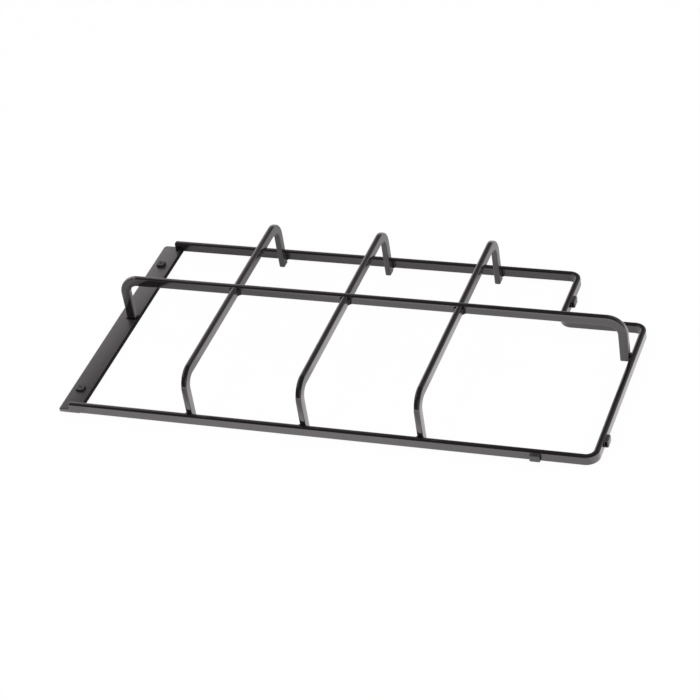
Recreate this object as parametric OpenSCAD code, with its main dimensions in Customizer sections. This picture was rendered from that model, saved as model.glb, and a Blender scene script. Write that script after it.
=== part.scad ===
// Gas hob pan support: a grid of enamelled flat bar, welded to a flat end plate,
// with two push-in rubber feet. X runs along the long bar, Y from front to rear,
// and Z = 0 is the hob surface that the feet stand on.

/* [Frame rod] */
// Length over the end plate and the frame rod
frame_l = 462.1; // [430:0.1:500]
// Width over the front and rear runs of the frame rod
frame_w = 241.4; // [225:0.2:270]
// Width of the frame rod, seen from above
frame_s = 5; // [4:0.1:6]
// Height of the frame rod
frame_h = 8.4; // [7:0.1:10]
// Inner radius of the frame rod's bends
frame_bend_r = 6; // [3:0.5:9]
// Height of the frame rod's underside above the hob
frame_lift = 2.6; // [2:0.1:4]

/* [Corner notch] */
// Length of the notch at the rear right corner
notch_l = 71.8; // [50:0.2:110]
// Depth of the notch from the rear run
notch_w = 64.4; // [60:0.2:90]

/* [Pan bars] */
// Width of the pan bars
bar_s = 5; // [4:0.1:6]
// Depth of the pan bars, from their top to their underside
bar_h = 8.4; // [7:0.1:10]
// Height of the pan bars' top above the hob
bar_top = 48.8; // [40:0.1:60]
// Inner radius of the pan bars' bends
bar_bend_r = 8.5; // [5:0.5:12]
// Centre of the left cross bar from the end plate's outer edge
first_bar_x = 117.7; // [100:0.1:125]
// Distance between the cross bars' centres
bar_pitch = 99.6; // [85:0.1:106]
// Centre of the long bar from the frame's front
long_bar_y = 132.2; // [110:0.2:150]
// Outer face of the long bar's left leg from the end plate's outer edge
long_bar_x = 8.6; // [7:0.1:8.8]
// Height of the long bar's right foot above the frame rod's underside
right_foot_rise = 3.1; // [0:0.1:4]
// How far the cross bars' tops lie below the long bar's top
cross_drop = 0.5; // [0:0.1:1]
// Play at each side of a half-lap crossing
lap_play = 0.1; // [0.05:0.05:0.3]

/* [Rod finish] */
// Radius of the rods' long edges
edge_r = 1.2; // [1:0.1:2]

/* [End plate] */
// Width of the end plate
plate_w = 18.9; // [18.7:0.1:30]
// Thickness of the end plate
plate_t = 3.8; // [3:0.1:4.5]
// Distance of the plate's ends from the frame's front and rear
plate_inset = 1.1; // [0.5:0.1:2]
// Corner radius of the plate at its outer rear corner
plate_rear_r = 3; // [1:0.5:6]
// Corner radius of the plate's other corners
plate_corner_r = 0.8; // [0.4:0.1:2]
// Depth of the seats that hold the frame rod's ends
seat_depth = 2.4; // [1.6:0.1:2.8]
// Play around a rod end in its seat
seat_play = 0.1; // [0.05:0.05:0.3]
// Length of the front rod end that lies on the plate
front_lap = 9.2; // [7:0.1:12]
// Length of the rear rod end that lies on the plate
rear_lap = 7.2; // [6.5:0.1:12]

/* [Rubber feet] */
// Centre of the feet from the plate's outer edge
foot_x = 8.3; // [6.5:0.1:9]
// Centre of the front foot from the frame's front
front_foot_inset = 28.7; // [20:0.1:60]
// Centre of the rear foot from the frame's rear
rear_foot_inset = 30.4; // [20:0.1:60]
// Length of a foot's head along X
head_l = 7.4; // [6:0.1:9]
// Width of a foot's head along Y
head_w = 7.2; // [6:0.1:9]
// Height of a foot's head above the plate
head_h = 2.2; // [1.5:0.1:3]
// Corner radius of a foot's head
head_r = 1.8; // [1:0.1:2.5]
// Diameter of a foot's stem
stem_d = 4.8; // [4:0.1:5.5]
// Play around a foot's stem in the plate
stem_play = 0.1; // [0.05:0.05:0.2]
// Diameter of a foot's pad under the plate
pad_d = 11; // [9:0.5:12]

/* [Locating lugs] */
// Length of a lug along the rod
lug_l = 8.3; // [6:0.1:12]
// How far a lug stands out from the rod
lug_t = 3.3; // [2:0.1:5]
// Height of a lug
lug_h = 7; // [6:0.1:8]
// Radius of a lug's outer edges
lug_r = 1.4; // [0.5:0.1:1.6]
// Centre of the front lug from the frame's right end
front_lug_inset = 49.6; // [20:0.2:100]
// Centre of the right lug from the frame's front
right_lug_inset = 27.2; // [20:0.2:80]
// Centre of the notch lug from the frame's rear
notch_lug_inset = 38.2; // [20:0.2:42]

/* [Welds] */
// Leg length of the fillet welds between a cross bar's legs and the frame rod
leg_weld = 2; // [1:0.1:3]
// Leg length of the fillet welds at a crossing's front corners
front_cross_weld = 3; // [1:0.1:4]
// Leg length of the fillet welds at a crossing's rear corners
rear_cross_weld = 1.6; // [1:0.1:4]
// Leg length of the fillet welds around the long bar's left foot
foot_weld = 1.4; // [1:0.1:1.6]
// Leg length of the fillet weld on the frame rod at the long bar's right leg
top_weld = 2; // [1.2:0.1:3]
// Leg length of the fillet weld inside the front rod end
front_end_weld = 1.6; // [1:0.1:3]
// Leg length of the fillet weld inside the rear rod end
rear_end_weld = 3.2; // [1:0.1:4]
// Length of the fillet welds along a rod end
end_weld_l = 6; // [3:0.5:8]

/* [Hidden] */
$fn = 64;
// Overshoot of a cut past the face it opens
cut = 1;
frame_section = [frame_s, frame_h];
frame_outer_r = frame_bend_r + frame_s;
bar_outer_r = bar_bend_r + bar_h;
frame_mid_z = frame_lift + frame_h / 2;
plate_bottom = frame_lift + seat_depth - plate_t;
plate_top = frame_lift + seat_depth;
front_end_x = plate_w - front_lap;
rear_end_x = plate_w - rear_lap;
right_face_x = frame_l - frame_s;
front_face_y = frame_s;
rear_face_y = frame_w - frame_s;
notch_x = frame_l - notch_l;
notch_y = frame_w - notch_w;
right_foot_z = frame_lift + right_foot_rise;
bar_xs = [for (i = [0:2]) first_bar_x + i * bar_pitch];
front_foot_y = front_foot_inset;
rear_foot_y = frame_w - rear_foot_inset;
front_lug_x = frame_l - front_lug_inset;
right_lug_y = right_lug_inset;
notch_lug_y = frame_w - notch_lug_inset;
bar_bottom = bar_top - bar_h;
cross_top = bar_top - cross_drop;
lap_z = bar_top - bar_h / 2;
frame_top = frame_lift + frame_h;
enamel = "#2c2a2d";
rubber = "#151415";

// The layout is measured from the frame's front left corner; the part's origin
// is the centre of its footprint, lugs included, on the hob.
module on_centre() {
    translate([-(frame_l + lug_t) / 2, -(frame_w - lug_t) / 2, 0]) children();
}

// A rectangle centred on the origin with round corners
module round_rect(size, r) {
    square([size[0] - 2 * r, size[1]], center = true);
    square([size[0], size[1] - 2 * r], center = true);
    for (x = [-1, 1], y = [-1, 1])
        translate([x * (size[0] / 2 - r), y * (size[1] / 2 - r)]) circle(r);
}

// A straight length of flat bar from the origin along +X. section is the bar's
// size along Y, the way it bends, and its size along Z.
module rod_run(length, section) {
    rotate([90, 0, 90]) linear_extrude(length) round_rect(section, edge_r);
}

// A quarter bend from the origin, leaving along +X and turning to +Y or -Y
module rod_bend(turn, inner_r, section) {
    mid_r = inner_r + section[0] / 2;
    mirror([0, turn > 0 ? 0 : 1, 0])
        translate([0, mid_r, 0])
            rotate([0, 0, -90])
                rotate_extrude(angle = 90)
                    translate([mid_r, 0]) round_rect(section, edge_r);
}

// One rod of straight runs with a quarter bend between each two
module bent_rod(runs, turns, inner_r, section, i = 0) {
    mid_r = inner_r + section[0] / 2;
    rod_run(runs[i], section);
    if (i < len(turns))
        translate([runs[i], 0, 0]) {
            rod_bend(turns[i], inner_r, section);
            translate([mid_r, turns[i] * mid_r, 0])
                rotate([0, 0, 90 * turns[i]])
                    bent_rod(runs, turns, inner_r, section, i + 1);
        }
}

// A bar on two legs, rising from the origin, running along +Y, and ending
// end_rise above the origin's level. span is over the legs' outer faces.
module bridge(span, top, end_rise) {
    runs = [top - bar_outer_r, span - 2 * bar_outer_r, top - bar_outer_r - end_rise];
    translate([0, bar_h / 2, 0])
        rotate([0, -90, 0]) bent_rod(runs, [1, 1], bar_bend_r, [bar_h, bar_s]);
}

// A fillet weld standing along +Z in the corner of +X and +Y
module fillet(length, leg) {
    linear_extrude(length) polygon([[0, 0], [leg, 0], [0, leg]]);
}

// The same weld on one chosen side of X and of Y
module corner_weld(length, leg, side_x, side_y) {
    mirror([side_x > 0 ? 0 : 1, 0, 0]) mirror([0, side_y > 0 ? 0 : 1, 0]) fillet(length, leg);
}

// A fillet weld lying along +X, in the corner of +Y and +Z
module floor_weld(length, leg) {
    rotate([0, 90, 0]) mirror([1, 0, 0]) fillet(length, leg);
}

// A piece of the frame rod that starts at x, y and heads along an angle about Z
module frame_piece(x, y, heading) {
    color(enamel) on_centre() translate([x, y, frame_mid_z]) rotate([0, 0, heading]) children();
}

// The frame rod's five straight runs and four bends, in order from the front
// rod end to the rear one. They share their end faces.
module frame_front_run() {
    frame_piece(front_end_x, frame_s / 2, 0)
        rod_run(frame_l - frame_outer_r - front_end_x, frame_section);
}

module frame_front_bend() {
    frame_piece(frame_l - frame_outer_r, frame_s / 2, 0)
        rod_bend(1, frame_bend_r, frame_section);
}

module frame_right_run() {
    frame_piece(frame_l - frame_s / 2, frame_outer_r, 90)
        rod_run(notch_y - 2 * frame_outer_r, frame_section);
}

module frame_right_bend() {
    frame_piece(frame_l - frame_s / 2, notch_y - frame_outer_r, 90)
        rod_bend(1, frame_bend_r, frame_section);
}

module frame_step_run() {
    frame_piece(frame_l - frame_outer_r, notch_y - frame_s / 2, 180)
        rod_run(notch_l - frame_outer_r - frame_bend_r, frame_section);
}

module frame_notch_bend() {
    frame_piece(notch_x + frame_bend_r, notch_y - frame_s / 2, 180)
        rod_bend(-1, frame_bend_r, frame_section);
}

module frame_notch_run() {
    frame_piece(notch_x - frame_s / 2, notch_y + frame_bend_r, 90)
        rod_run(notch_w - frame_outer_r - frame_bend_r, frame_section);
}

module frame_rear_bend() {
    frame_piece(notch_x - frame_s / 2, frame_w - frame_outer_r, 90)
        rod_bend(1, frame_bend_r, frame_section);
}

module frame_rear_run() {
    frame_piece(notch_x - frame_outer_r, frame_w - frame_s / 2, 180)
        rod_run(notch_x - frame_outer_r - rear_end_x, frame_section);
}

// The plate's outline, with one larger radius at its outer rear corner
module plate_outline() {
    plate_l = frame_w - 2 * plate_inset;
    difference() {
        translate([plate_w / 2, plate_l / 2]) round_rect([plate_w, plate_l], plate_corner_r);
        translate([-cut, plate_l - plate_rear_r]) square(plate_rear_r + cut);
    }
    translate([plate_rear_r, plate_l - plate_rear_r]) circle(plate_rear_r);
}

// The seat for one rod end, from end_x to past the plate's inner edge
module rod_seat(end_x, y) {
    translate([end_x - seat_play, y - seat_play, frame_lift])
        cube([plate_w - end_x + seat_play + cut, frame_s + 2 * seat_play, seat_depth + cut]);
}

module end_plate() {
    color(enamel) on_centre() difference() {
        translate([0, plate_inset, plate_bottom]) linear_extrude(plate_t) plate_outline();
        rod_seat(front_end_x, 0);
        rod_seat(rear_end_x, rear_face_y);
        for (y = [front_foot_y, rear_foot_y])
            translate([foot_x, y, plate_bottom - cut])
                cylinder(d = stem_d + 2 * stem_play, h = plate_t + 2 * cut);
    }
}

module long_bar() {
    span = right_face_x - long_bar_x;
    color(enamel) on_centre() difference() {
        translate([long_bar_x, long_bar_y, plate_top])
            rotate([0, 0, -90])
                bridge(span, bar_top - plate_top, right_foot_z - plate_top);
        for (x = bar_xs)
            translate([x - bar_s / 2 - lap_play, long_bar_y - bar_s, bar_bottom - cut])
                cube([bar_s + 2 * lap_play, 2 * bar_s, bar_h / 2 + cut]);
    }
}

module cross_bar(x) {
    color(enamel) on_centre() difference() {
        translate([x, front_face_y, 0]) bridge(rear_face_y - front_face_y, cross_top, 0);
        translate([x - bar_s, long_bar_y - bar_s / 2 - lap_play, lap_z])
            cube([2 * bar_s, bar_s + 2 * lap_play, bar_h / 2 + cut]);
    }
}

module left_cross_bar() { cross_bar(bar_xs[0]); }
module middle_cross_bar() { cross_bar(bar_xs[1]); }
module right_cross_bar() { cross_bar(bar_xs[2]); }

// A pad under the plate, a stem through it and a head on top of it
module rubber_foot(y) {
    color(rubber) on_centre() translate([foot_x, y, 0]) {
        cylinder(d = pad_d, h = plate_bottom);
        cylinder(d = stem_d, h = plate_top + head_h / 2);
        translate([0, 0, plate_top]) linear_extrude(head_h) round_rect([head_l, head_w], head_r);
    }
}

module front_foot() { rubber_foot(front_foot_y); }
module rear_foot() { rubber_foot(rear_foot_y); }

// A lug on the +X side of the YZ plane, round along its outer edges
module lug() {
    rotate([90, 0, 0])
        translate([0, 0, -lug_l / 2])
            linear_extrude(lug_l)
                intersection() {
                    round_rect([2 * lug_t, lug_h], lug_r);
                    translate([0, -lug_h / 2]) square([lug_t, lug_h]);
                }
}

module front_lug() {
    color(enamel) on_centre() translate([front_lug_x, 0, frame_mid_z]) rotate([0, 0, -90]) lug();
}

module right_lug() {
    color(enamel) on_centre() translate([frame_l, right_lug_y, frame_mid_z]) lug();
}

module notch_lug() {
    color(enamel) on_centre() translate([notch_x, notch_lug_y, frame_mid_z]) lug();
}

// The weld along the front rod end's inner side, on the plate's top
module end_weld(leg) {
    translate([plate_w - end_weld_l, front_face_y, plate_top]) floor_weld(end_weld_l, leg);
}

module front_end_welds() {
    color(enamel) on_centre() end_weld(front_end_weld);
}

module rear_end_welds() {
    color(enamel) on_centre()
        translate([0, frame_w, 0]) mirror([0, 1, 0]) end_weld(rear_end_weld);
}

// Welds at both sides of a cross bar's two legs, against the frame rod
module leg_welds(x) {
    color(enamel) on_centre()
        for (side_x = [-1, 1])
            translate([x + side_x * bar_s / 2, 0, frame_lift]) {
                translate([0, front_face_y, 0]) corner_weld(frame_h, leg_weld, side_x, 1);
                translate([0, rear_face_y, 0]) corner_weld(frame_h, leg_weld, side_x, -1);
            }
}

module left_leg_welds() { leg_welds(bar_xs[0]); }
module middle_leg_welds() { leg_welds(bar_xs[1]); }
module right_leg_welds() { leg_welds(bar_xs[2]); }

// Welds in the four corners of a cross bar's crossing with the long bar
module crossing_welds(x) {
    flat = bar_h - 2 * edge_r - cross_drop;
    color(enamel) on_centre() translate([x, long_bar_y, bar_bottom + edge_r])
        for (side_x = [-1, 1])
            translate([side_x * bar_s / 2, 0, 0]) {
                translate([0, -bar_s / 2, 0]) corner_weld(flat, front_cross_weld, side_x, -1);
                translate([0, bar_s / 2, 0]) corner_weld(flat, rear_cross_weld, side_x, 1);
            }
}

module left_crossing_welds() { crossing_welds(bar_xs[0]); }
module middle_crossing_welds() { crossing_welds(bar_xs[1]); }
module right_crossing_welds() { crossing_welds(bar_xs[2]); }

// Welds along the four sides of the long bar's left foot, on the plate
module left_foot_welds() {
    color(enamel) on_centre()
        translate([long_bar_x + bar_h / 2, long_bar_y, plate_top])
            for (turn = [0:3]) {
                along = turn % 2 == 0 ? bar_h : bar_s;
                across = turn % 2 == 0 ? bar_s : bar_h;
                flat = along - 2 * edge_r;
                rotate([0, 0, 90 * turn])
                    translate([-flat / 2, across / 2, 0]) floor_weld(flat, foot_weld);
            }
}

// Welds at both sides of the long bar's right leg, against the frame rod, and
// one along the leg's outer face on the rod's top
module right_foot_welds() {
    flat = bar_s - 2 * edge_r;
    color(enamel) on_centre() translate([right_face_x, long_bar_y, 0]) {
        for (side_y = [-1, 1])
            translate([0, side_y * bar_s / 2, right_foot_z])
                corner_weld(frame_top - right_foot_z, leg_weld, -1, side_y);
        translate([0, flat / 2, frame_top]) rotate([0, 0, -90]) floor_weld(flat, top_weld);
    }
}

frame_front_run();
frame_front_bend();
frame_right_run();
frame_right_bend();
frame_step_run();
frame_notch_bend();
frame_notch_run();
frame_rear_bend();
frame_rear_run();
end_plate();
long_bar();
left_cross_bar();
middle_cross_bar();
right_cross_bar();
front_foot();
rear_foot();
front_lug();
right_lug();
notch_lug();
front_end_welds();
rear_end_welds();
left_leg_welds();
middle_leg_welds();
right_leg_welds();
left_crossing_welds();
middle_crossing_welds();
right_crossing_welds();
left_foot_welds();
right_foot_welds();
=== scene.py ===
import math

import bpy
from mathutils import Matrix, Vector


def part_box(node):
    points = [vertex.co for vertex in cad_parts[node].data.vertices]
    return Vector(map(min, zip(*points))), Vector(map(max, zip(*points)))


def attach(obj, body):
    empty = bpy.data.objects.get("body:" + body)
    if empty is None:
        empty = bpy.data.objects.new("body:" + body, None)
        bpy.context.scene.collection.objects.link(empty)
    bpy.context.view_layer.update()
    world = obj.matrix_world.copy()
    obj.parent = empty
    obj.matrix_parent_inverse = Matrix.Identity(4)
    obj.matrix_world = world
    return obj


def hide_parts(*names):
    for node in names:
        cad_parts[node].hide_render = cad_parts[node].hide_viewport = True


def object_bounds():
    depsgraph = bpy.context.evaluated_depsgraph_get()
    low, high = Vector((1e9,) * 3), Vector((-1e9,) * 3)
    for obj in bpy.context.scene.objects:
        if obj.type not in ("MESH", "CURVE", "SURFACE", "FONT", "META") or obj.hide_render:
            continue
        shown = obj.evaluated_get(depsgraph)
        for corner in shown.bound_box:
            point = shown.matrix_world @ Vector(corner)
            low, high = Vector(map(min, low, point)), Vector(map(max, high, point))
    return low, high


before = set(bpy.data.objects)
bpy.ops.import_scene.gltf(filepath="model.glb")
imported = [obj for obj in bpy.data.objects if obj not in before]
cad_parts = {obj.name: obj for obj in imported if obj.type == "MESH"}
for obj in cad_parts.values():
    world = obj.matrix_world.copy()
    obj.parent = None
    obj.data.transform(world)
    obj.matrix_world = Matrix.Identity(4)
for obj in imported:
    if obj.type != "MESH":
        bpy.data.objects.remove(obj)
cadLow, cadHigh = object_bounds()
middle = (cadLow + cadHigh) / 2
right, back, up = Vector((1, 0, 0)), Vector((0, 1, 0)), Vector((0, 0, 1))
same = 0.000001  # lengths closer than this are the same
near = 0.00001  # and a point this near to an edge lies on it
squareTo = 0.99  # the cosine from which a face counts as square to a line
plateLow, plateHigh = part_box("end_plate")
print("frame loaded:", len(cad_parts), "solids")


class Value:
    # a node's output that can be used in sums
    def __init__(self, tree, socket):
        self.tree, self.socket = tree, socket

    def maths(self, operation, first, second):
        node = self.tree.node("ShaderNodeMath", {"operation": operation}, {0: first, 1: second})
        return Value(self.tree, node.outputs[0])

    def __add__(self, other):
        return self.maths("ADD", self, other)

    def __radd__(self, other):
        return self.maths("ADD", other, self)

    def __sub__(self, other):
        return self.maths("SUBTRACT", self, other)

    def __rsub__(self, other):
        return self.maths("SUBTRACT", other, self)

    def __mul__(self, other):
        return self.maths("MULTIPLY", self, other)

    def __rmul__(self, other):
        return self.maths("MULTIPLY", other, self)


class NodeTree:
    def __init__(self, owner):
        owner.use_nodes = True
        self.nodes, self.links = owner.node_tree.nodes, owner.node_tree.links
        self.nodes.clear()

    def node(self, kind, settings=None, inputs=None):
        made = self.nodes.new(kind)
        for name, value in (settings or {}).items():
            setattr(made, name, value)
        for name, value in (inputs or {}).items():
            if isinstance(value, Value):
                self.links.new(value.socket, made.inputs[name])
            elif isinstance(value, bpy.types.NodeSocket):
                self.links.new(value, made.inputs[name])
            else:
                made.inputs[name].default_value = value
        return made

    def value(self, kind, settings=None, inputs=None, output=0):
        return Value(self, self.node(kind, settings, inputs).outputs[output])

    def smooth(self, value, reach, fromValue=0.0, toValue=1.0):
        # a soft step over the reach, which may run down as well as up
        start, end = reach
        if start > end:
            start, end, fromValue, toValue = end, start, toValue, fromValue
        return self.value(
            "ShaderNodeMapRange",
            {"interpolation_type": "SMOOTHSTEP"},
            {
                "Value": value,
                "From Min": start,
                "From Max": end,
                "To Min": fromValue,
                "To Max": toValue,
            },
        )

    def blend(self, factor, first, second):
        node = self.node(
            "ShaderNodeMix", {"data_type": "RGBA"}, {"Factor": factor, 6: first, 7: second}
        )
        return node.outputs[2]


rodEnamel = {
    "dark": (0.0088, 0.0080, 0.0084, 1),
    "light": (0.0135, 0.0123, 0.0129, 1),
    "patch": 24.0,  # patches of tone, per metre
    "patchRange": (0.36, 0.66),  # the part of the noise that shows
    "smudge": 150.0,
    "smudgeRange": (0.3, 0.72),
    "toneMix": (0.7, 0.3),  # how much the patches and the smudges change the tone
    "peel": 620.0,  # the fired glaze's fine ripple, per metre
    "peelDepth": 0.0000028,
    "wave": 150.0,
    "waveDepth": 0.000010,
    "pits": 900.0,
    "pitRange": (0.0, 0.16),
    "pitDepth": 0.0000025,
    "gloss": (0.066, 0.11),  # roughness, from and to
    "glossMix": (0.65, 0.35),  # how much the smudges and the peel change it
    "reflect": 1.0,
    "tint": (1.0, 0.94, 0.965, 1),
    "coat": 1.0,
    "coatRoughness": 0.035,
    "coatIndex": 1.7,
}
plateEnamel = {
    **rodEnamel,
    "dark": (0.016, 0.0152, 0.0156, 1),
    "light": (0.025, 0.0225, 0.0243, 1),
    "patch": 38.0,
    "gloss": (0.38, 0.50),
    "coatRoughness": 0.36,
    "coatIndex": 2.1,
    "shadedEdgeFrom": 0.0010,  # painted shade: the plate's inner edge is dark and dull from this far in from its face
    "shadedEdgeTo": 0.0004,
    "shadedEdgeRoughness": 0.5,
    "shadedEdgeReflect": 0.12,
}
lugEnamel = {
    **rodEnamel,
    "dark": (0.026, 0.0256, 0.0240, 1),
    "light": (0.040, 0.0392, 0.0370, 1),
    "peel": 1100.0,
    "peelDepth": 0.000010,
    "gloss": (0.22, 0.36),
    "tint": (1.0, 0.97, 0.98, 1),
    "coat": 0.6,
    "coatRoughness": 0.1,
    "coatIndex": 1.5,
}
# partly painted shade: darker and duller than the rods' enamel, so the welds in the joints'
# corners read black
weldEnamel = {
    **rodEnamel,
    "dark": (0.0030, 0.0027, 0.0029, 1),
    "light": (0.0055, 0.0049, 0.0053, 1),
    "wave": 420.0,
    "waveDepth": 0.00003,
    "gloss": (0.14, 0.26),
    "reflect": 0.1,
    "coat": 0.5,
    "coatIndex": 1.4,
}


def makeEnamel(name, look):
    material = bpy.data.materials.new(name)
    tree = NodeTree(material)
    place = tree.node("ShaderNodeTexCoord").outputs["Object"]

    def noise(scale, detail, roughness=0.5):
        return tree.value(
            "ShaderNodeTexNoise",
            None,
            {"Vector": place, "Scale": scale, "Detail": detail, "Roughness": roughness},
        )

    patch = tree.smooth(noise(look["patch"], detail=3), look["patchRange"])
    smudge = tree.smooth(noise(look["smudge"], detail=4, roughness=0.62), look["smudgeRange"])
    peel = noise(look["peel"], detail=2)
    wave = noise(look["wave"], detail=1)
    cells = tree.value(
        "ShaderNodeTexVoronoi", {"feature": "F1"}, {"Vector": place, "Scale": look["pits"]}
    )
    pits = tree.smooth(cells, look["pitRange"])
    byPatch, bySmudge = look["toneMix"]
    tone = tree.blend(patch * byPatch + smudge * bySmudge, look["dark"], look["light"])
    low, high = look["gloss"]
    bySmudge, byPeel = look["glossMix"]
    roughness = low + (high - low) * (smudge * bySmudge + peel * byPeel)
    height = peel * look["peelDepth"] + wave * look["waveDepth"] + pits * look["pitDepth"]
    bump = tree.node("ShaderNodeBump", None, {"Strength": 1.0, "Distance": 1.0, "Height": height})
    shader = tree.node(
        "ShaderNodeBsdfPrincipled",
        None,
        {
            "Base Color": tone,
            "Roughness": roughness,
            "Specular IOR Level": look["reflect"],
            "Specular Tint": look["tint"],
            "Coat Weight": look["coat"],
            "Coat Roughness": look["coatRoughness"],
            "Coat IOR": look["coatIndex"],
            "Coat Tint": look["tint"],
            "Normal": bump.outputs[0],
        },
    )
    surface = shader.outputs[0]
    # painted shade: a dark, dull band along the plate's inner edge
    if "shadedEdgeFrom" in look:
        edge = (plateHigh.x - look["shadedEdgeFrom"], plateHigh.x - look["shadedEdgeTo"])
        across = tree.value("ShaderNodeSeparateXYZ", None, {0: place}, "X")
        shadedEdge = tree.node(
            "ShaderNodeBsdfPrincipled",
            None,
            {
                "Base Color": rodEnamel["dark"],
                "Roughness": look["shadedEdgeRoughness"],
                "Specular IOR Level": look["shadedEdgeReflect"],
            },
        )
        surface = tree.node(
            "ShaderNodeMixShader",
            None,
            {0: tree.smooth(across, edge), 1: surface, 2: shadedEdge.outputs[0]},
        ).outputs[0]
    tree.node("ShaderNodeOutputMaterial", None, {"Surface": surface})
    return material


footRubber = {
    "dark": (0.0050, 0.0050, 0.0052, 1),
    "light": (0.0085, 0.0083, 0.0083, 1),
    "paintedTop": (0.080, 0.076, 0.078, 1),  # painted light: the heads' tops are painted paler, as if lit from above
    "paintedTopFrom": 0.0015,  # above the plate
    "paintedTopTo": 0.0020,
    "paintedTopMix": (0.8, 0.2),  # how much of the painted top light shows everywhere, and with the bloom
    "grain": 1700.0,
    "grainDepth": 0.00003,
    "bloom": 260.0,  # the pale bloom on moulded rubber
    "bloomRange": (0.35, 0.7),
    "toneMix": (0.75, 0.25),  # how much the bloom and the grain change the tone
    "gloss": (0.46, 0.66),
}


def makeRubber(name, look):
    material = bpy.data.materials.new(name)
    tree = NodeTree(material)
    place = tree.node("ShaderNodeTexCoord").outputs["Object"]

    def noise(scale, detail):
        return tree.value(
            "ShaderNodeTexNoise", None, {"Vector": place, "Scale": scale, "Detail": detail}
        )

    grain = noise(look["grain"], detail=3)
    bloom = tree.smooth(noise(look["bloom"], detail=4), look["bloomRange"])
    byBloom, byGrain = look["toneMix"]
    tone = tree.blend(bloom * byBloom + grain * byGrain, look["dark"], look["light"])
    height = tree.value("ShaderNodeSeparateXYZ", None, {0: place}, "Z")
    # painted light: above the plate, the heads' tops are painted paler than their dark sides
    paintedTop = tree.smooth(height, (plateHigh.z + look["paintedTopFrom"], plateHigh.z + look["paintedTopTo"]))
    everywhere, byBloom = look["paintedTopMix"]
    tone = tree.blend(paintedTop * (everywhere + bloom * byBloom), tone, look["paintedTop"])
    low, high = look["gloss"]
    relief = grain * look["grainDepth"]
    bump = tree.node("ShaderNodeBump", None, {"Distance": 1.0, "Height": relief})
    shader = tree.node(
        "ShaderNodeBsdfPrincipled",
        None,
        {"Base Color": tone, "Roughness": low + (high - low) * bloom, "Normal": bump.outputs[0]},
    )
    tree.node("ShaderNodeOutputMaterial", None, {"Surface": shader.outputs[0]})
    return material


finishes = {
    "rod_enamel": makeEnamel("rodEnamel", rodEnamel),
    "plate_enamel": makeEnamel("plateEnamel", plateEnamel),
    "lug_enamel": makeEnamel("lugEnamel", lugEnamel),
    "weld_enamel": makeEnamel("weldEnamel", weldEnamel),
    "foot_rubber": makeRubber("footRubber", footRubber),
}
print("finishes made:", ", ".join(finishes))


def editMode(on):
    bpy.ops.object.mode_set(mode="EDIT" if on else "OBJECT")


def clearSelection():
    bpy.ops.object.select_all(action="DESELECT")


def applyPlace():
    bpy.ops.object.transform_apply(location=True, rotation=True, scale=True)


def picked(piece, kind, test):
    # selects in edit mode the faces or edges that pass the test
    editMode(True)
    bpy.ops.mesh.select_mode(type=kind)
    bpy.ops.mesh.select_all(action="DESELECT")
    editMode(False)
    mesh = piece.data
    if kind == "FACE":
        for face in mesh.polygons:
            face.select = test(face)
    else:
        points = [v.co for v in mesh.vertices]
        for edge in mesh.edges:
            edge.select = test(*[points[i] for i in edge.vertices])
    editMode(True)


def faces(face, way):
    return face.normal.dot(way) > squareTo


def squareOn(face, line):
    return abs(face.normal.dot(line)) > squareTo


def level(a, b):
    return abs(a.z - b.z) < same


def extrude(move):
    bpy.ops.mesh.extrude_region_move(TRANSFORM_OT_translate={"value": move})


def roundEdges(offset, steps, profile=0.5):
    # rounds over what is selected, and leaves edit mode
    bpy.ops.mesh.bevel(affect="EDGES", offset=offset, segments=steps, profile=profile)
    editMode(False)


def roundCorners(offset, steps, profile=0.5):
    # rounds a flat outline's corners, and leaves all of it selected
    bpy.ops.mesh.select_all(action="SELECT")
    bpy.ops.mesh.bevel(affect="VERTICES", offset=offset, segments=steps, profile=profile)
    bpy.ops.mesh.select_all(action="SELECT")


def turnTo(across, above, ahead):
    # the turn that lays X, Y and Z along these three directions
    return Matrix((across, above, ahead)).transposed().to_4x4()


def copied(piece, shift):
    made = piece.copy()
    made.data = piece.data.copy()
    bpy.context.scene.collection.objects.link(made)
    made.data.transform(Matrix.Translation(shift))
    return made


def joined(pieces):
    # joins the pieces into the first one
    clearSelection()
    for piece in pieces:
        piece.select_set(True)
    bpy.context.view_layer.objects.active = pieces[0]
    if len(pieces) > 1:
        bpy.ops.object.join()
    return pieces[0]


def applyModifier(piece, kind, settings):
    modifier = piece.modifiers.new(kind.lower(), kind)
    for name, value in settings.items():
        setattr(modifier, name, value)
    bpy.context.view_layer.objects.active = piece
    bpy.ops.object.modifier_apply(modifier=modifier.name)


def outward(angle):
    # merges doubles, turns the faces outwards and shades them smooth
    editMode(True)
    bpy.ops.mesh.select_all(action="SELECT")
    bpy.ops.mesh.remove_doubles(threshold=same)
    bpy.ops.mesh.normals_make_consistent(inside=False)
    editMode(False)
    bpy.ops.object.shade_smooth_by_angle(angle=math.radians(angle))


def settle(piece, name, nodes, slot):
    piece.name = name
    piece.data.name = name
    piece.data.materials.clear()
    piece.data.materials.append(finishes[slot])
    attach(piece, "root")
    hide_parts(*nodes)


flatBar = {
    "crown": 0.0019,  # how far in from a corner the narrow faces are rounded
    "crownShape": 0.52,
    "crownSteps": 14,
    "flatter": 2.0,  # how much less the wide faces are rounded
    "bendSteps": 28,
    "footRound": 0.0009,  # the glaze's rounding at a foot's end, and at the frame rod's ends
    "endRound": 0.0011,
    "endSteps": 5,
    "endFace": 0.125,  # an end's own face is centred this near to it, by the bar's width
    "bendFinish": 30,  # the angle up to which its edges are shaded smooth, and with the ends
    "finish": 40,
}


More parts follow.
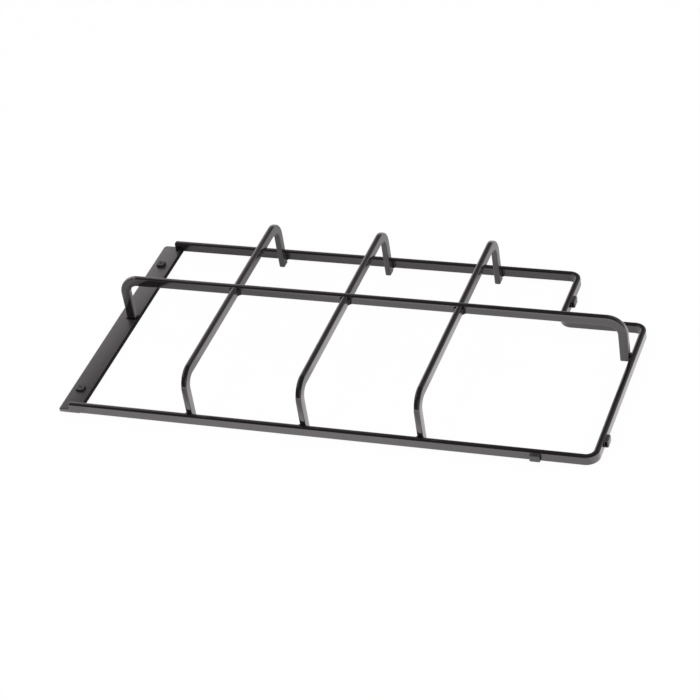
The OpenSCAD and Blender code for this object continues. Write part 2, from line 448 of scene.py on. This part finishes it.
def layRod(start, heading, wide, section, steps, endRound):
    # section is the bar's size along wide, the way it bends, and its other size
    clearSelection()
    bpy.ops.mesh.primitive_plane_add(size=1)
    rod = bpy.context.object
    stretch = [flatBar["flatter"] if size == max(section) else 1 for size in section]
    rod.scale = (section[0] * stretch[0], section[1] * stretch[1], 1)
    applyPlace()
    editMode(True)
    roundCorners(flatBar["crown"], flatBar["crownSteps"], flatBar["crownShape"])
    bpy.ops.transform.resize(value=(1 / stretch[0], 1 / stretch[1], 1))
    editMode(False)
    turn = turnTo(wide, heading.cross(wide), heading)
    rod.data.transform(Matrix.Translation(start) @ turn)
    editMode(True)
    bpy.ops.mesh.select_all(action="SELECT")
    tip, way = start.copy(), heading.copy()
    for kind, value in steps:
        if kind == "run":
            extrude(way * value)
            tip += way * value
        else:
            turned, inner = value
            radius = inner + section[0] / 2
            centre = tip + turned * radius
            bpy.ops.mesh.spin(
                steps=flatBar["bendSteps"],
                angle=-math.pi / 2,
                center=centre,
                axis=way.cross(turned),
            )
            tip = centre + way * radius
            way = turned.copy()
    editMode(False)
    outward(flatBar["bendFinish"])
    # the two cut ends, rounded over by the glaze
    reach = section[1] * flatBar["endFace"]
    for place, line in ((start, heading), (tip, way)):
        picked(
            rod,
            "FACE",
            lambda face: squareOn(face, line) and (face.center - place).length < reach,
        )
        roundEdges(endRound, flatBar["endSteps"])
    outward(flatBar["finish"])
    return rod


framePieces = [
    "front_run", "front_bend", "right_run", "right_bend", "step_run",
    "notch_bend", "notch_run", "rear_bend", "rear_run",
]
frameBoxes = {name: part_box("frame_" + name) for name in framePieces}
rodLow = Vector([min(low[i] for low, _ in frameBoxes.values()) for i in range(3)])
rodHigh = Vector([max(high[i] for _, high in frameBoxes.values()) for i in range(3)])
longLow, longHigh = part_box("long_bar")
rodTall = rodHigh.z - rodLow.z
rodWide = rodHigh.x - longHigh.x
frontEnd, rearEnd = frameBoxes["front_run"][0].x, frameBoxes["rear_run"][0].x
notchX, notchY = frameBoxes["notch_run"][1].x, frameBoxes["step_run"][1].y

frameRod = {"bend": 0.006}


def layFrameRod():
    bend = frameRod["bend"]
    reach = bend + rodWide  # from a run's outer face to where the other run starts
    steps = [
        ("run", rodHigh.x - reach - frontEnd),
        ("bend", (back, bend)),
        ("run", notchY - rodLow.y - 2 * reach),
        ("bend", (-right, bend)),
        ("run", rodHigh.x - notchX - reach - bend),
        ("bend", (back, bend)),
        ("run", rodHigh.y - notchY - reach - bend),
        ("bend", (-right, bend)),
        ("run", notchX - reach - rearEnd),
    ]
    start = Vector((frontEnd, rodLow.y + rodWide / 2, (rodLow.z + rodHigh.z) / 2))
    return layRod(start, right, back, (rodWide, rodTall), steps, flatBar["endRound"])


settle(layFrameRod(), "frameRod", ["frame_" + name for name in framePieces], "rod_enamel")
print("frame rod bent")

panBar = {"bend": 0.0085, "foot": 0.0001}  # the foot is what lies this near to the lowest point


def barDepth(node, across):
    # a bar's size the way it bends, read at the foot of its first leg
    points = [v.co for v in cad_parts[node].data.vertices]
    points = [p for p in points if p.dot(across) < middle.dot(across)]
    lowest = min(p.z for p in points)
    reach = [p.dot(across) for p in points if p.z < lowest + panBar["foot"]]
    return max(reach) - min(reach)


def layBar(low, high, across, depth, endLow):
    # a bar on two legs: across is the way that its top runs
    width = (high - low).dot(back if across is right else right)
    bend = panBar["bend"]
    span = (high - low).dot(across)
    reach = bend + depth
    start = (low + high) / 2
    start -= across * (span / 2 - depth / 2)
    start.z = low.z
    steps = [
        ("run", high.z - low.z - reach),
        ("bend", (across, bend)),
        ("run", span - 2 * reach),
        ("bend", (-up, bend)),
        ("run", high.z - endLow - reach),
    ]
    return layRod(start, up, across, (depth, width), steps, flatBar["footRound"])


longDepth = barDepth("long_bar", right)
longPoints = [v.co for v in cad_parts["long_bar"].data.vertices]
longEnd = min(p.z for p in longPoints if p.x > middle.x)
settle(layBar(longLow, longHigh, right, longDepth, longEnd), "longBar", ["long_bar"], "rod_enamel")
print("long bar bent")

# the three cross bars are one bar, copied
crossNames = ["left", "middle", "right"]
crossBoxes = {name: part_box(name + "_cross_bar") for name in crossNames}
crossDepth = barDepth("left_cross_bar", back)
firstLow, firstHigh = crossBoxes["left"]
firstBar = layBar(firstLow, firstHigh, back, crossDepth, firstLow.z)
for name in crossNames:
    crossBar = copied(firstBar, crossBoxes[name][0] - firstLow)
    settle(crossBar, name + "CrossBar", [name + "_cross_bar"], "rod_enamel")
bpy.data.objects.remove(firstBar)
print("cross bars bent")

endPlate = {
    "rearCorner": 0.003,
    "corner": 0.0010,
    "cornerSteps": 8,
    "edge": 0.0009,
    "edgeSteps": 4,
    "finish": 35,
}


def layPlate():
    clearSelection()
    size = plateHigh - plateLow
    bpy.ops.mesh.primitive_cube_add(size=1, location=(plateLow + plateHigh) / 2, scale=size)
    plate = bpy.context.object
    applyPlace()

    def upright(a, b, rearLeft):
        isUpright = abs(a.z - b.z) > size.z / 2
        isRearLeft = a.x < plateLow.x + size.x / 2 and a.y > middle.y
        return isUpright and isRearLeft == rearLeft

    for rearLeft, radius in ((True, endPlate["rearCorner"]), (False, endPlate["corner"])):
        picked(plate, "EDGE", lambda a, b: upright(a, b, rearLeft))
        roundEdges(radius, endPlate["cornerSteps"])
    picked(plate, "FACE", lambda face: squareOn(face, up))
    roundEdges(endPlate["edge"], endPlate["edgeSteps"])
    outward(endPlate["finish"])
    return plate


settle(layPlate(), "endPlate", ["end_plate"], "plate_enamel")
print("end plate cut")


rubberFoot = {
    "sides": 48,
    "stem": 0.0048,
    "stemAbove": 0.0004,  # how far the stem stands up into the head
    "rim": 0.49,  # the pad's rim is at least this far out, by its width
    "padEdge": 0.0005,
    "headLength": 0.0074,
    "headWidth": 0.0072,
    "headSink": 0.0002,
    "headCorner": 0.0018,
    "cornerSteps": 6,
    "headEdge": 0.0006,
    "edgeSteps": 4,
    "headCrown": 0.0003,  # a shallow crown,
    "crownInsets": (0.0008, 0.0009),  # raised in steps this far in from one another
    "stemFinish": 40,
    "headFinish": 50,
}


def layFoot(low, high):
    # turned up from the floor: pad, stem, then the wider head with its crown
    clearSelection()
    centre = (low + high) / 2
    wide = high.x - low.x
    bpy.ops.mesh.primitive_circle_add(
        vertices=rubberFoot["sides"], radius=wide / 2, fill_type="NGON",
        location=(centre.x, centre.y, low.z),
    )
    stem = bpy.context.object
    applyPlace()
    editMode(True)
    bpy.ops.mesh.select_all(action="SELECT")
    extrude(up * (plateLow.z - low.z))
    extrude((0, 0, 0))
    shrink = rubberFoot["stem"] / wide
    bpy.ops.transform.resize(value=(shrink, shrink, 1))
    extrude(up * (plateHigh.z - plateLow.z + rubberFoot["stemAbove"]))
    editMode(False)
    outward(rubberFoot["stemFinish"])

    def onRim(a, b):
        out = min((point.xy - centre.xy).length for point in (a, b))
        return level(a, b) and out > wide * rubberFoot["rim"]

    picked(stem, "EDGE", onRim)
    roundEdges(rubberFoot["padEdge"], rubberFoot["edgeSteps"])
    outward(rubberFoot["stemFinish"])

    clearSelection()
    bottom = plateHigh.z - rubberFoot["headSink"]
    bpy.ops.mesh.primitive_plane_add(size=1, location=(centre.x, centre.y, bottom))
    head = bpy.context.object
    head.scale = (rubberFoot["headLength"], rubberFoot["headWidth"], 1)
    applyPlace()
    editMode(True)
    roundCorners(rubberFoot["headCorner"], rubberFoot["cornerSteps"])
    extrude(up * (high.z - bottom - rubberFoot["headCrown"]))
    roundEdges(rubberFoot["headEdge"], rubberFoot["edgeSteps"])
    picked(head, "FACE", lambda face: faces(face, up) and face.center.z > plateHigh.z)
    insets = rubberFoot["crownInsets"]
    for inset in insets:
        bpy.ops.mesh.inset(thickness=inset)
        bpy.ops.transform.translate(value=up * (rubberFoot["headCrown"] / len(insets)))
    editMode(False)
    outward(rubberFoot["headFinish"])
    return joined([stem, head])


footBoxes = {name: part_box(name + "_foot") for name in ("front", "rear")}
frontFoot = layFoot(*footBoxes["front"])
rearFoot = copied(frontFoot, footBoxes["rear"][0] - footBoxes["front"][0])
settle(frontFoot, "frontFoot", ["front_foot"], "foot_rubber")
settle(rearFoot, "rearFoot", ["rear_foot"], "foot_rubber")
print("rubber feet moulded")


locatingLug = {
    "sink": 0.0008,
    "nose": 0.0014,
    "noseSteps": 7,
    "edge": 0.0004,
    "edgeSteps": 3,
    "wall": 0.0006,  # the open ends of the folded lug
    "hollow": 0.0045,
    "endArea": 0.000004,  # smaller faces belong to the rounded edges
    "finish": 40,
}


def layLug(low, high, outwards):
    clearSelection()
    sink = outwards * locatingLug["sink"]
    size = high - low + Vector([abs(v) for v in sink])
    bpy.ops.mesh.primitive_cube_add(size=1, location=(low + high - sink) / 2, scale=size)
    lug = bpy.context.object
    applyPlace()
    far = max(low.dot(outwards), high.dot(outwards))
    along = outwards.cross(up)

    def onNose(a, b):
        return min(a.dot(outwards), b.dot(outwards)) > far - near and level(a, b)

    picked(lug, "EDGE", onNose)
    roundEdges(locatingLug["nose"], locatingLug["noseSteps"])
    picked(lug, "FACE", lambda face: squareOn(face, along))
    roundEdges(locatingLug["edge"], locatingLug["edgeSteps"])
    for way in (along, -along):
        picked(lug, "FACE", lambda face: faces(face, way) and face.area > locatingLug["endArea"])
        bpy.ops.mesh.inset(thickness=locatingLug["wall"])
        extrude(way * -locatingLug["hollow"])
        editMode(False)
    outward(locatingLug["finish"])
    return lug


for name, outwards in (("front", -back), ("right", right), ("notch", right)):
    lug = layLug(*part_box(name + "_lug"), outwards)
    settle(lug, name + "Lug", [name + "_lug"], "lug_enamel")
print("lugs set")


weldBead = {
    "sink": 0.0007,  # how deep a bead reaches into the rods it joins
    "hollow": 0.17,
    "hollowSteps": 5,
    "hollowSink": 0.3,  # how much of the sink the hollow takes in
    "cuts": 3,  # along its length
    "softness": 2,
    "ripple": 0.00022,
    "rippleSize": 0.0022,
    "finish": 180,
}
ripples = bpy.data.textures.new("weldRipples", "CLOUDS")
ripples.noise_scale = weldBead["rippleSize"]


def roughen(bead):
    outward(weldBead["finish"])
    softness = weldBead["softness"]
    applyModifier(bead, "SUBSURF", {"levels": softness, "render_levels": softness})
    applyModifier(
        bead,
        "DISPLACE",
        {
            "texture": ripples,
            "texture_coords": "GLOBAL",
            "strength": weldBead["ripple"],
            "mid_level": 0.5,
        },
    )
    outward(weldBead["finish"])


def layBead(corner, along, first, second, length, leg):
    # a hollow fillet from corner along a line, with one leg on each wall
    clearSelection()
    sink = weldBead["sink"]
    inwards = (leg - sink) / 2
    bpy.ops.mesh.primitive_cube_add(
        size=1, location=(inwards, inwards, length / 2), scale=(leg + sink, leg + sink, length)
    )
    bead = bpy.context.object
    applyPlace()
    picked(bead, "EDGE", lambda a, b: min(a.x, b.x, a.y, b.y) > leg - near)
    roundEdges(
        leg + sink * weldBead["hollowSink"], weldBead["hollowSteps"], weldBead["hollow"]
    )
    picked(bead, "EDGE", lambda a, b: abs(a.z - b.z) > length / 2)
    bpy.ops.mesh.subdivide(number_cuts=weldBead["cuts"])
    editMode(False)
    bead.data.transform(Matrix.Translation(corner) @ turnTo(first, second, along))
    roughen(bead)
    return bead


def layWelds(name, node, beads):
    settle(joined([layBead(*bead) for bead in beads]), name, [node], "weld_enamel")


legWeld = {"leg": 0.0014, "above": -0.0002}
crossingWeld = {"front": 0.0032, "rear": 0.0018, "below": 0.0010, "above": 0.0013}
for name in crossNames:
    low, high = crossBoxes[name]
    beads = []
    for x, side in ((low.x, -right), (high.x, right)):
        for y, inward in ((low.y, back), (high.y, -back)):
            corner = Vector((x, y, rodLow.z))
            tall = rodTall + legWeld["above"]
            beads.append((corner, up, side, inward, tall, legWeld["leg"]))
    layWelds(name + "LegWelds", name + "_leg_welds", beads)
    beads = []
    bottom = high.z - crossDepth + crossingWeld["below"]
    tall = high.z - crossingWeld["above"] - bottom
    for x, side in ((low.x, -right), (high.x, right)):
        for y, way, leg in ((longLow.y, -back, "front"), (longHigh.y, back, "rear")):
            beads.append((Vector((x, y, bottom)), up, side, way, tall, crossingWeld[leg]))
    layWelds(name + "CrossingWelds", name + "_crossing_welds", beads)

endWeld = {"front": 0.0017, "rear": 0.0032, "length": 0.0062}
for name, y, inward in (
    ("front", rodLow.y + rodWide, back),
    ("rear", rodHigh.y - rodWide, -back),
):
    start = Vector((plateHigh.x - endWeld["length"], y, plateHigh.z))
    bead = (start, right, inward, up, endWeld["length"], endWeld[name])
    layWelds(name + "EndWelds", name + "_end_welds", [bead])

rightFoot = {"leg": 0.0020, "top": 0.0021, "inset": 0.0010}
beads = []
for y, way in ((longLow.y, -back), (longHigh.y, back)):
    start = Vector((longHigh.x, y, longEnd))
    beads.append((start, up, -right, way, rodHigh.z - longEnd, rightFoot["leg"]))
start = Vector((longHigh.x, longLow.y + rightFoot["inset"], rodHigh.z))
length = longHigh.y - longLow.y - 2 * rightFoot["inset"]
beads.append((start, back, right, up, length, rightFoot["top"]))
layWelds("rightFootWelds", "right_foot_welds", beads)

leftFoot = {"leg": 0.0017, "steps": 4, "sink": 0.0004, "corner": 0.0024, "cornerSteps": 5}


def layFootSkirt():
    # one bead all round the long bar's left leg
    clearSelection()
    leg, steps, sink = leftFoot["leg"], leftFoot["steps"], leftFoot["sink"]
    sizes = Vector((longDepth, longHigh.y - longLow.y))
    centre = Vector((longLow.x + longDepth / 2, (longLow.y + longHigh.y) / 2, plateHigh.z))
    bpy.ops.mesh.primitive_plane_add(size=1, location=centre - up * sink)
    skirt = bpy.context.object
    now = sizes + Vector((2 * leg, 2 * leg))
    skirt.scale = (now.x, now.y, 1)
    applyPlace()
    editMode(True)
    roundCorners(leftFoot["corner"], leftFoot["cornerSteps"])
    extrude(up * sink)
    before = 0
    for i in range(1, steps + 1):
        height = leg * (1 - math.sqrt(1 - (i / steps) ** 2))
        target = sizes + Vector((2 * leg, 2 * leg)) * (1 - i / steps)
        extrude(up * (height - before))
        bpy.ops.transform.resize(value=(target.x / now.x, target.y / now.y, 1))
        now, before = target, height
    editMode(False)
    roughen(skirt)
    return skirt


settle(layFootSkirt(), "leftFootWelds", ["left_foot_welds"], "weld_enamel")
print("welds laid")


studio = {
    "floor": 8.0,
    "below": 0.00005,  # how far under the feet it lies
    "floorWhite": (0.92, 0.92, 0.92, 1),
    "floorGrey": (0.88, 0.88, 0.88, 1),
    "mottle": 3.0,
    "mottleMix": 0.04,
    "shadow": 0.03,  # how much of the floor's own shading the camera sees
    "contact": 0.35,  # and how much of it gloss shows
    "roomLight": 0.75,
    "roomDark": (0.034, 0.032, 0.033, 1),
}
paintedFloorReflection = {  # painted reflection: how pale gloss shows the floor, with painted shadows and pools of light; a pair is where an edge starts and ends
    "paintedLightPool": 0.94,  # a painted pool of light between the bars
    "left": (0.02, -0.20),  # painted light that falls off to the left
    "leftTo": 0.34,
    "rear": (0.045, 0.085),
    "rearTo": 0.37,
    "front": (0.010, -0.002),  # and in front of the frame
    "frontTo": 0.50,
    "shade": (-0.009, -0.013),  # painted shadow: dark under the end plate, and to the left of it
    "shadeEnd": (0.0, 0.002),
    "middleIn": (-0.078, -0.062),  # painted shade in front of the long bar
    "middleOut": (-0.022, -0.036),
    "middleTo": 0.66,
    "cornerIn": (-0.040, -0.024),  # and painted shade by the long bar's right leg
    "cornerOut": (0.058, 0.050),
    "cornerAcross": (0.13, 0.16),
    "cornerTo": 0.60,
    "stripIn": (-0.034, -0.016),  # a painted paler strip of light along the front rod
    "stripOut": (0.012, 0.0),
    "strip": 0.52,
    "stripAcross": -1.15,  # how it changes along X
    "innerIn": (0.008, 0.018),  # another painted strip of light inside it
    "innerOut": (0.068, 0.052),
    "innerAcross": (-0.20, -0.12),
    "inner": 0.34,
    "far": (-0.2, -0.45),  # painted light on the open floor in front
    "farTo": 0.36,
    "open": (-0.0006, 0.003),  # and painted light to the right of the frame
    "notch": (0.0, 0.004),  # and painted light in its corner notch
    "notchTo": 0.25,
}
black, white = (0, 0, 0, 1), (1, 1, 1, 1)
bpy.ops.mesh.primitive_plane_add(
    size=studio["floor"], location=(0, 0, cadLow.z - studio["below"])
)
floor = bpy.context.object
floor.name = "floor"
floorFinish = bpy.data.materials.new("paleFloor")
tree = NodeTree(floorFinish)
place = tree.node("ShaderNodeTexCoord").outputs["Object"]
spot = tree.node("ShaderNodeSeparateXYZ", None, {0: place})
across, along = Value(tree, spot.outputs["X"]), Value(tree, spot.outputs["Y"])


def paintedReflectionEdge(value, name, base=0.0, fromValue=0.0, toValue=1.0):
    # one edge of the painted reflection, measured from a place on the part
    start, end = paintedFloorReflection[name]
    return tree.smooth(value, (base + start, base + end), fromValue, toValue)


def paintedShadeDip(mask, name):
    return 1.0 - mask * (1.0 - paintedFloorReflection[name])


# painted shadows and pools of light, which only gloss sees on the floor
paintedLightPool = paintedFloorReflection["paintedLightPool"] * paintedReflectionEdge(across, "left", 0.0, 1.0, paintedFloorReflection["leftTo"])
paintedLightPool = paintedLightPool * paintedReflectionEdge(along, "rear", 0.0, 1.0, paintedFloorReflection["rearTo"])
paintedLightPool = paintedLightPool * paintedReflectionEdge(along, "front", rodLow.y, 1.0, paintedFloorReflection["frontTo"])
clear = paintedReflectionEdge(across, "shade", plateLow.x) + paintedReflectionEdge(across, "shadeEnd", plateHigh.x)
paintedLightPool = paintedLightPool * clear
byBar = paintedReflectionEdge(along, "middleIn") * paintedReflectionEdge(along, "middleOut")
paintedLightPool = paintedLightPool * paintedShadeDip(byBar, "middleTo")
byLeg = paintedReflectionEdge(along, "cornerIn") * paintedReflectionEdge(along, "cornerOut")
paintedLightPool = paintedLightPool * paintedShadeDip(byLeg * paintedReflectionEdge(across, "cornerAcross"), "cornerTo")
strip = paintedReflectionEdge(along, "stripIn", rodLow.y) * paintedReflectionEdge(along, "stripOut", rodLow.y)
strip = strip * (paintedFloorReflection["strip"] + across * paintedFloorReflection["stripAcross"])
inner = paintedReflectionEdge(along, "innerIn", rodLow.y) * paintedReflectionEdge(along, "innerOut", rodLow.y)
inner = inner * paintedReflectionEdge(across, "innerAcross", 0.0, 0.0, paintedFloorReflection["inner"])
far = paintedReflectionEdge(along, "far", 0.0, 0.0, paintedFloorReflection["farTo"])
outside = paintedReflectionEdge(across, "open", rodHigh.x)
beside = paintedReflectionEdge(across, "open", notchX) * paintedReflectionEdge(along, "notch", notchY)
paintedLightPool = paintedLightPool + strip + inner + far + outside + beside * paintedFloorReflection["notchTo"]
paintedLightPool = tree.value("ShaderNodeClamp", None, {"Value": paintedLightPool, "Min": 0.0, "Max": 1.0})
path = tree.node("ShaderNodeLightPath")
seen = Value(tree, path.outputs["Is Camera Ray"])
shown = Value(tree, path.outputs["Is Glossy Ray"])
mottle = tree.value(
    "ShaderNodeTexNoise", None, {"Vector": place, "Scale": studio["mottle"], "Detail": 2}
)
mottle = mottle * studio["mottleMix"]
paint = tree.node(
    "ShaderNodeBsdfDiffuse",
    None,
    {"Color": tree.blend(mottle, studio["floorWhite"], studio["floorGrey"])},
)
# the camera sees a white floor; gloss sees the painted reflection
pale = tree.blend(seen, tree.blend(paintedLightPool, black, white), white)
shine = tree.node("ShaderNodeEmission", None, {"Color": pale, "Strength": 1.0})
mixed = tree.node(
    "ShaderNodeMixShader",
    None,
    {
        0: seen * (1 - studio["shadow"]) + shown * (1 - studio["contact"]),
        1: paint.outputs[0],
        2: shine.outputs[0],
    },
)
tree.node("ShaderNodeOutputMaterial", None, {"Surface": mixed.outputs[0]})
floor.data.materials.append(floorFinish)

# painted reflections: every glow here is seen only by gloss and lights nothing
paintedReflections = {  # what gloss shows of the room: each glow's colour, and along each axis
    # where it starts and where it is full
    "highBehind": ((0.24, 0.23, 0.235, 1), ("Z", (0.82, 0.6)), ("X", (-0.28, 0.0))),
    "leftGlow": (
        (0.95, 0.92, 0.935, 1), ("Z", (0.77, 0.35)), ("X", (-0.19, -0.58)), ("Y", (-0.35, 0.25))
    ),
    "paintedStripHighlight": (
        # painted highlight: a strip that gloss alone shows, for the thin lines on the bends
        (1.0, 1.0, 1.0, 1), ("X", (-0.64, -0.60)), ("X", (-0.46, -0.50)), ("Z", (0.66, 0.74))
    ),
    "backGlow": ((0.80, 0.78, 0.79, 1), ("Z", (0.36, 0.1)), ("Y", (0.4, 0.8))),
    "rightGlow": ((0.45, 0.44, 0.45, 1), ("Z", (0.3, 0.0)), ("X", (0.45, 0.75))),
}
world = bpy.data.worlds.new("studio")
bpy.context.scene.world = world
tree = NodeTree(world)
direction = tree.node(
    "ShaderNodeSeparateXYZ", None, {0: tree.node("ShaderNodeTexCoord").outputs["Generated"]}
)
paintedReflectionColour = studio["roomDark"]
for colour, *edges in paintedReflections.values():
    glow = 1.0
    for axis, reach in edges:
        glow = glow * tree.smooth(Value(tree, direction.outputs[axis]), reach)
    paintedReflectionColour = tree.blend(glow, paintedReflectionColour, colour)


def glowing(colour, strength):
    made = tree.node("ShaderNodeBackground", None, {"Color": colour, "Strength": strength})
    return made.outputs[0]


def either(mask, first, second):
    return tree.node("ShaderNodeMixShader", None, {0: mask, 1: first, 2: second}).outputs[0]


path = tree.node("ShaderNodeLightPath")
direct = Value(tree, path.outputs["Is Camera Ray"])
direct = direct + Value(tree, path.outputs["Is Transmission Ray"])
# gloss alone sees the painted reflections; all other rays get even white room light
room = either(
    path.outputs["Is Glossy Ray"], glowing(white, studio["roomLight"]), glowing(paintedReflectionColour, 1.0)
)
room = either(direct, room, glowing(white, 1.0))
tree.node("ShaderNodeOutputWorld", None, {"Surface": room})

lamps = {
    "frontLamp": {"place": (-0.6, -1.6, 1.9), "size": (1.4, 0.7), "power": 16.0},
    "sideLamp": {"place": (1.9, 0.3, 1.5), "size": (0.8, 1.2), "power": 9.0},
}


def hangLamp(name, place, size, power):
    data = bpy.data.lights.new(name, "AREA")
    data.shape, data.size, data.size_y, data.energy = "RECTANGLE", size[0], size[1], power
    lamp = bpy.data.objects.new(name, data)
    bpy.context.scene.collection.objects.link(lamp)
    lamp.location = place
    lamp.visible_glossy = False
    lamp.rotation_euler = (middle - Vector(place)).to_track_quat("-Z", "Y").to_euler()


for name, lamp in lamps.items():
    hangLamp(name, **lamp)

view = {
    "azimuth": 24.27,
    "elevation": 36.06,
    "roll": 9.69,
    "distance": 2.04418,
    "aside": 0.01021,
    "above": 0.01773,
    "lens": 126.2,
    "sensor": 36.0,
    "clip": (0.05, 50.0),
}


def placeCamera():
    turn, tilt, roll = (math.radians(view[k]) for k in ("azimuth", "elevation", "roll"))
    ahead = Vector(
        (-math.sin(turn) * math.cos(tilt), math.cos(turn) * math.cos(tilt), -math.sin(tilt))
    )
    flat = Vector((math.cos(turn), math.sin(turn), 0))
    aside = flat * math.cos(roll) - flat.cross(ahead) * math.sin(roll)
    above = aside.cross(ahead)
    data = bpy.data.cameras.new("camera")
    data.sensor_width, data.lens = view["sensor"], view["lens"]
    data.clip_start, data.clip_end = view["clip"]
    made = bpy.data.objects.new("camera", data)
    bpy.context.scene.collection.objects.link(made)
    spot = middle - ahead * view["distance"] - aside * view["aside"] - above * view["above"]
    made.matrix_world = Matrix.Translation(spot) @ turnTo(aside, above, -ahead)
    bpy.context.scene.camera = made


placeCamera()
bpy.context.scene.view_settings.view_transform = "Standard"
print("floor, lamps and camera set")
